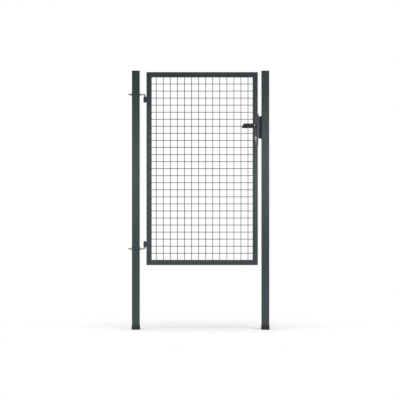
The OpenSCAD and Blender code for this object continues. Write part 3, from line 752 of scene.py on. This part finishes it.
def buildBackPlate(side):
    # side is -1 at the front and 1 at the rear
    node = "front_back_plate" if side < 0 else "rear_back_plate"
    rosette = {"inner": 0.0114, "outer": 0.0168, "height": 0.0024, "sunk": 0.0004}
    outerY = plateLow.y if side < 0 else -plateLow.y
    bm = softCopy(node, 0.0012, 3)
    spot = pointing((leverAxis.x, outerY - side * rosette["sunk"], leverAxis.z), (0, side, 0))
    inner, outer, tall = rosette["inner"], rosette["outer"], rosette["height"]
    outline = (
        (inner, 0), (outer + 0.0008, 0), (outer + 0.0003, tall * 0.55), (outer - 0.0006, tall * 0.9),
        (outer - 0.002, tall), (inner + 0.0006, tall), (inner, tall * 0.8))
    lathe(bm, outline, spot, 48, closed=True)
    finishPiece(node + "_moulded", bm, "leaf", platePlastic, (node,))


def crossScrew(bm, matrix, headRadius, shape, shankLength):
    # a flush head whose top is at the matrix's own origin, with a cross recess pressed into it;
    # the recess is given in shares of the head's radius and depth, and its turn in degrees
    recess = {"ease": 0.12, "arm": 0.6, "half": 0.13, "depth": 0.7, "taper": 0.55, "turn": 20}
    headDepth, shankRadius = screwShape[shape]
    screw = bmesh.new()
    ease = headDepth * recess["ease"]
    outline = (
        (headRadius - ease, 0), (headRadius, -ease), (shankRadius, -headDepth), (shankRadius, -shankLength),
        (0, -shankLength))
    lathe(screw, outline, matrix)
    rim = [e for e in screw.edges if e.is_boundary]
    arm, half = headRadius * recess["arm"], headRadius * recess["half"]
    corners = ((arm, 0), (arm, half), (half, half), (half, arm))
    cross = bmesh.ops.create_circle(screw, segments=16, radius=1)["verts"]
    for i, vert in enumerate(cross):
        quarter = Matrix.Rotation(math.radians(recess["turn"] + 90 * (i // 4)), 4, "Z")
        vert.co = matrix @ quarter @ Vector((*corners[i % 4], 0))
    lip = edgesAmong(screw, cross)
    bmesh.ops.bridge_loops(screw, edges=rim + lip)
    down = vertsIn(bmesh.ops.extrude_edge_only(screw, edges=lip)["geom"])
    bottom = matrix @ Vector((0, 0, -headDepth * recess["depth"]))
    bmesh.ops.translate(screw, verts=down, vec=bottom - matrix.translation)
    bmesh.ops.scale(screw, verts=down, vec=(recess["taper"],) * 3, space=Matrix.Translation(-bottom))
    closeHoles(screw)
    addCopies(bm, screw)


def buildPlateScrews():
    low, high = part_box("plate_screws")
    headRadius, endGap = (high.x - low.x) / 2, 0.0005
    bm = bmesh.new()
    for z in (low.z + headRadius, high.z - headRadius):
        for side in (-1, 1):
            outerY = low.y if side < 0 else high.y
            spot = pointing((leverAxis.x, outerY, z), (0, side, 0), alongX)
            crossScrew(bm, spot, headRadius, "plate", high.y - endGap)
    finishPiece("plate_screws_crossed", bm, "leaf", keepPlastic, ("plate_screws",), 25)


def buildKeepScrews():
    low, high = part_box("keep_screws")
    headRadius = (high.y - low.y) / 2
    heights = sorted({round(v.co.z, 5) for v in nodes["keep_screws"].data.vertices})
    centres = [low.z + headRadius, high.z - headRadius]
    # the heights well away from both outer screws belong to the middle one
    between = [z for z in heights if centres[0] + 0.02 < z < centres[1] - 0.02]
    centres.append((between[0] + between[-1]) / 2)
    bm = bmesh.new()
    for z in sorted(centres):
        spot = pointing((low.x, 0, z), (-1, 0, 0), alongY)
        crossScrew(bm, spot, headRadius, "keep", high.x - low.x)
    finishPiece("keep_screws_crossed", bm, "posts", zincPlate, ("keep_screws",), 25)


def buildCylinderScrew():
    low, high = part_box("cylinder_screw")
    headRadius = (high.y - low.y) / 2
    bm = bmesh.new()
    spot = pointing((high.x, 0, (low.z + high.z) / 2), alongX, alongY)
    crossScrew(bm, spot, headRadius, "cylinder", high.x - low.x)
    finishPiece("cylinder_screw_crossed", bm, "leaf", zincPlate, ("cylinder_screw",), 25)


buildBackPlate(-1)
buildBackPlate(1)
buildPlateScrews()
buildKeepScrews()
buildCylinderScrew()
soften("lock_forend", "leaf", lockGrey, 0.0007)
soften("keep", "posts", keepPlastic, 0.0009, 3)
soften("lock_cylinder", "leaf", shadedHousingNickel, 0.0004)
soften("rear_plug", "leaf", nickelPlate, 0.0002)
soften("front_plug", "key", nickelPlate, 0.0002)
soften("latch_bolt", "latch", nickelPlate, 0.0006)
soften("dead_bolt", "dead_bolt", nickelPlate, 0.0006)
dress(zincPlate, "lock_case", "spindle")
print("lock body done")


# levers
def leverStations():
    # each ring's point, direction, half height, half thickness and squareness, from the plate to the tip
    grip = {
        "half": 0.00625, "journal": 0.0088, "collar": 0.0105, "neck": 0.011, "waist": 0.0098, "turn": 0.0165,
        "square": 2.9}
    half, waist, turn = grip["half"], grip["waist"], grip["turn"]
    low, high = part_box("front_lever")
    tall = (high.z - low.z) / 2
    gripY, startX = low.y + half, leverAxis.x
    bendY = gripY + turn
    neckRings = (
        (0.007, grip["journal"]), (0.0001, grip["journal"]), (-0.0004, grip["collar"]),
        (-0.0012, grip["neck"]), (-0.004, grip["neck"]), ((bendY - plateLow.y) / 2, waist))
    stations = [((startX, plateLow.y + y), (0, -1), radius, radius, 2.0) for y, radius in neckRings]
    bendSteps = 8
    for i in range(bendSteps + 1):
        share = i / bendSteps
        angle = math.radians(90 * share)
        point = (startX - turn * (1 - math.cos(angle)), bendY - turn * math.sin(angle))
        smooth = share * share * (3 - 2 * share)
        ringTall = waist + (tall * 0.9 - waist) * smooth
        thick = waist + (half - waist) * smooth
        square = 2.0 + (grip["square"] - 2.0) * smooth
        stations.append((point, (-math.sin(angle), -math.cos(angle)), ringTall, thick, square))
    reach = startX - turn - low.x
    gripRings = (
        (0.12, 0.95, 1.0), (0.3, 0.99, 1.0), (0.55, 1.0, 1.0), (0.8, 0.99, 0.98), (0.92, 0.97, 0.95),
        (0.96, 0.94, 0.9), (0.985, 0.86, 0.76), (0.998, 0.7, 0.5))
    for share, rise, thick in gripRings:
        point = (startX - turn - reach * share, gripY)
        stations.append((point, (-1, 0), tall * rise, half * thick, grip["square"]))
    return stations, low.x, tall


def buildLever(side):
    node = "front_lever" if side < 0 else "rear_lever"
    tipSlant = {"reach": 0.012, "fade": 0.05}
    stations, end, tall = leverStations()
    bm = bmesh.new()
    loops = []
    for (x, y), (dx, dy), halfTall, halfThick, square in stations:
        made = bmesh.ops.create_circle(bm, segments=32, radius=1)["verts"]
        spot = pointing((x, y, leverAxis.z), (dx, dy, 0), alongZ)
        for vert in made:
            across, over = vert.co.x, vert.co.y
            grow = (abs(across) ** square + abs(over) ** square) ** (-1 / square)
            vert.co = spot @ Vector((across * grow * halfTall, over * grow * halfThick, 0))
            # the tip slants back towards its top
            near = max(0.0, 1 - (vert.co.x - end) / tipSlant["fade"])
            vert.co.x += near * tipSlant["reach"] * (vert.co.z - leverAxis.z + tall) / (2 * tall)
        loops.append(edgesAmong(bm, made))
    for one, two in zip(loops, loops[1:]):
        bmesh.ops.bridge_loops(bm, edges=one + two)
    closeHoles(bm)
    if side > 0:
        bmesh.ops.scale(bm, verts=bm.verts, vec=(1, -1, 1))
    finishPiece(node + "_grip", bm, "levers", leverPlastic, (node,), 55)


buildLever(-1)
buildLever(1)
print("levers done")


# keys
keyShape = {
    "thick": 0.0022, "bowRadius": 0.009, "hole": 0.003, "bladeWidth": 0.0084, "bladeLength": 0.024,
    "edge": 0.00018, "apart": 0.0026, "turn": -40}
cutShape = {"first": 0.0045, "pitch": 0.0036, "out": 0.0028, "half": 0.002, "long": 0.003}
cutDepths = (0.0016, 0.0026, 0.0012, 0.0022, 0.0018)
grooveShape = {"deep": 0.0005, "low": -0.0018, "high": -0.0006, "past": 0.001}


def buildKeyBlank(bottom):
    # a round bow with a hole at the origin, and a blade with cuts on one edge and a groove on each face
    thick, bow, half = keyShape["thick"], keyShape["bowRadius"], keyShape["bladeWidth"] / 2
    blank, blade, hole = bmesh.new(), bmesh.new(), bmesh.new()
    cylinder(blank, bow, thick, pointing((0, 0, keyShape["hole"] * 2 - bow), alongX, alongZ), 48)
    box(blade, (-thick / 2, -half, bottom), (thick / 2, half, -bow))
    carve(blank, blade, "UNION")
    cylinder(hole, keyShape["hole"], thick * 2, pointing((0, 0, 0), alongX), 32)
    carve(blank, hole)
    long, size = cutShape["long"], cutShape["half"]
    for i, deep in enumerate(cutDepths):
        notch = bmesh.new()
        box(notch, (-long, -size, -size), (long, size, size))
        spot = (0, half + cutShape["out"] - deep, bottom + cutShape["first"] + i * cutShape["pitch"])
        place = Matrix.Translation(spot) @ Matrix.Rotation(math.radians(45), 4, "X")
        bmesh.ops.transform(notch, matrix=place, verts=notch.verts)
        carve(blank, notch)
    deep, past = grooveShape["deep"], grooveShape["past"]
    for x in (-thick / 2, thick / 2):
        groove = bmesh.new()
        low = (x - deep, grooveShape["low"], bottom - past)
        high = (x + deep, grooveShape["high"], -bow - past)
        box(groove, low, high)
        carve(blank, groove)
    softenEdges(blank, keyShape["edge"], 1)
    return blank


def buildSpareKeys():
    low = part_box("spare_keys")[0]
    ringLow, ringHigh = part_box("key_ring")
    holeY = (ringLow.y + ringHigh.y) / 2
    bottom = -(2 * (keyShape["bowRadius"] - keyShape["hole"]) + keyShape["bladeLength"])
    turned = Matrix.Rotation(math.radians(keyShape["turn"]), 4, "Z")
    places = [
        Matrix.Translation((keyAxis.x + side * keyShape["apart"], holeY, low.z - bottom)) @ turned
        for side in (-1, 1)]
    bm = bmesh.new()
    addCopies(bm, buildKeyBlank(bottom), places)
    finishPiece("spare_keys_cut", bm, "key", spareMetal, ("spare_keys",), 25)


def buildRing():
    # a split ring: two flat turns of wire side by side
    low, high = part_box("key_ring")
    centre = (low + high) / 2
    wire = {"wide": 0.0018, "thick": 0.00092, "ease": 0.0002, "pitch": 1.02, "steps": 64, "turns": 2}
    bm = bmesh.new()
    out, half, ease = (high.x - low.x) / 2, wire["thick"] / 2, wire["ease"]
    within = out - wire["wide"]
    profile = (
        (out - ease, -half), (out, -half + ease), (out, half - ease), (out - ease, half),
        (within + ease, half), (within, half - ease), (within, -half + ease), (within + ease, -half))
    matrix = pointing((centre.x, centre.y - half, centre.z), alongY, alongX)
    # both ends of the wire lie low on the right, where the spin starts
    matrix = matrix @ Matrix.Rotation(math.radians(60), 4, "Z")
    verts = [bm.verts.new(matrix @ Vector((r, 0, h))) for r, h in profile]
    count = len(verts)
    edges = [bm.edges.new((verts[i], verts[(i + 1) % count])) for i in range(count)]
    bm.faces.new(verts)
    steps = wire["steps"] * wire["turns"]
    shift = wire["thick"] * wire["pitch"] / steps * (wire["turns"] - 1)
    made = bmesh.ops.spin(
        bm, geom=verts + edges, cent=centre, axis=alongY, angle=math.tau * wire["turns"], steps=steps,
        dvec=alongY * shift, use_merge=False, use_duplicate=False)
    bmesh.ops.holes_fill(bm, edges=edgesIn(made["geom_last"]), sides=0)
    finishPiece("key_ring_split", bm, "key", zincPlate, ("key_ring",), 35)


soften("key", "key", keyMetal, 0.0003, name="key_in_lock")
buildSpareKeys()
buildRing()
print("keys done")


# stage and light
stageSetup = {"floorSize": 40.0, "worldLevel": 0.17, "litRadius": 1.0, "whiteRadius": 1.7}


def whiteRays(tree):
    # camera, glossy and transmission rays, which see plain white
    path = addNode(tree, "ShaderNodeLightPath").outputs
    seen = maths(tree, "MAXIMUM", path["Is Camera Ray"], path["Is Glossy Ray"])
    return maths(tree, "MAXIMUM", seen, path["Is Transmission Ray"])


def buildWorld():
    world = bpy.data.worlds.new("studioWorld")
    bpy.context.scene.world = world
    world.use_nodes = True
    tree = world.node_tree
    tree.nodes.clear()
    level = stageSetup["worldLevel"]
    ambient = addNode(tree, "ShaderNodeBackground", {"Color": (0.97, 0.98, 1.0, 1), "Strength": level})
    white = addNode(tree, "ShaderNodeBackground", {"Color": (1, 1, 1, 1), "Strength": 1.0})
    shares = {0: whiteRays(tree), 1: ambient.outputs[0], 2: white.outputs[0]}
    mixed = addNode(tree, "ShaderNodeMixShader", shares)
    output = tree.nodes.new("ShaderNodeOutputWorld")
    tree.links.new(mixed.outputs[0], output.inputs["Surface"])


def buildFloor():
    # lit and shadowed round the gate, and fading to plain white beyond
    bm = bmesh.new()
    bmesh.ops.create_grid(bm, x_segments=1, y_segments=1, size=stageSetup["floorSize"] / 2)
    mesh = bpy.data.meshes.new("floor")
    bm.to_mesh(mesh)
    bm.free()
    floor = bpy.data.objects.new("floor", mesh)
    bpy.context.scene.collection.objects.link(floor)
    material = bpy.data.materials.new("floorWhite")
    material.use_nodes = True
    tree = material.node_tree
    tree.nodes.clear()
    place = addNode(tree, "ShaderNodeTexCoord").outputs["Object"]
    centred = addNode(tree, "ShaderNodeMapping", {"Vector": place, "Location": (-gateCentre, 0, 0)})
    away = addNode(tree, "ShaderNodeVectorMath", {0: centred.outputs[0]}, operation="LENGTH").outputs["Value"]
    far = remap(tree, away, stageSetup["litRadius"], stageSetup["whiteRadius"], 0.0, 1.0)
    seen = whiteRays(tree)
    unseen = maths(tree, "MULTIPLY", far, maths(tree, "SUBTRACT", 1.0, seen))
    # the far floor is dark to indirect rays, so that it throws little light back at the gate
    tone = blendColours(tree, unseen, (0.80, 0.80, 0.80, 1), (0.12, 0.12, 0.12, 1))
    lit = addNode(tree, "ShaderNodeBsdfDiffuse", {"Color": tone})
    white = addNode(tree, "ShaderNodeEmission", {"Color": (1, 1, 1, 1), "Strength": 1.0})
    fade = maths(tree, "MULTIPLY", far, seen)
    mixed = addNode(tree, "ShaderNodeMixShader", {0: fade, 1: lit.outputs[0], 2: white.outputs[0]})
    output = tree.nodes.new("ShaderNodeOutputMaterial")
    tree.links.new(mixed.outputs[0], output.inputs["Surface"])
    mesh.materials.append(material)


def areaLamp(name, place, aim, width, height, power, spread, glintOnly=False):
    # the broad lamps leave no reflections of their own; a glint lamp leaves nothing else
    data = bpy.data.lights.new(name, "AREA")
    data.shape, data.size, data.size_y, data.energy = "RECTANGLE", width, height, power
    data.spread = math.radians(spread)
    lamp = bpy.data.objects.new(name, data)
    lamp.location = place
    lamp.rotation_mode = "QUATERNION"
    lamp.rotation_quaternion = (Vector(aim) - Vector(place)).to_track_quat("-Z", "Y")
    lamp.visible_camera = False
    lamp.visible_glossy, lamp.visible_diffuse = glintOnly, not glintOnly
    bpy.context.scene.collection.objects.link(lamp)


def sunLamp(name, direction, strength, spread):
    data = bpy.data.lights.new(name, "SUN")
    data.energy, data.angle = strength, math.radians(spread)
    lamp = bpy.data.objects.new(name, data)
    lamp.rotation_mode = "QUATERNION"
    lamp.rotation_quaternion = Vector(direction).to_track_quat("-Z", "Y")
    bpy.context.scene.collection.objects.link(lamp)


buildWorld()
buildFloor()
areaLamp(
    "frontSoftbox", place=(gateCentre, -1.6, 1.2), aim=(gateCentre, 0, 1.2),
    width=2.2, height=0.8, power=3.5, spread=50)
areaLamp(
    "lowFrontStrip", place=(gateCentre, -1.2, 0.2), aim=(gateCentre, 0, 0.2),
    width=2.2, height=0.3, power=0.8, spread=60)
areaLamp(
    "rearFill", place=(gateCentre - 0.4, 2.6, 1.2), aim=(gateCentre, 0, 1.2),
    width=2.0, height=0.9, power=4, spread=50)
areaLamp(
    "lockGlint", place=leverAxis + Vector((1.8, -2.2, 0.1)), aim=leverAxis,
    width=0.8, height=0.8, power=6, spread=24, glintOnly=True)
sunLamp("overheadSoft", (0.02, 0, -1), strength=0.1, spread=60)
sunLamp("frontSoft", (0.02, 0.30, -1), strength=2.8, spread=60)
sunLamp("rearSoft", (0.02, -0.30, -1), strength=0.65, spread=60)
print("stage and light done")
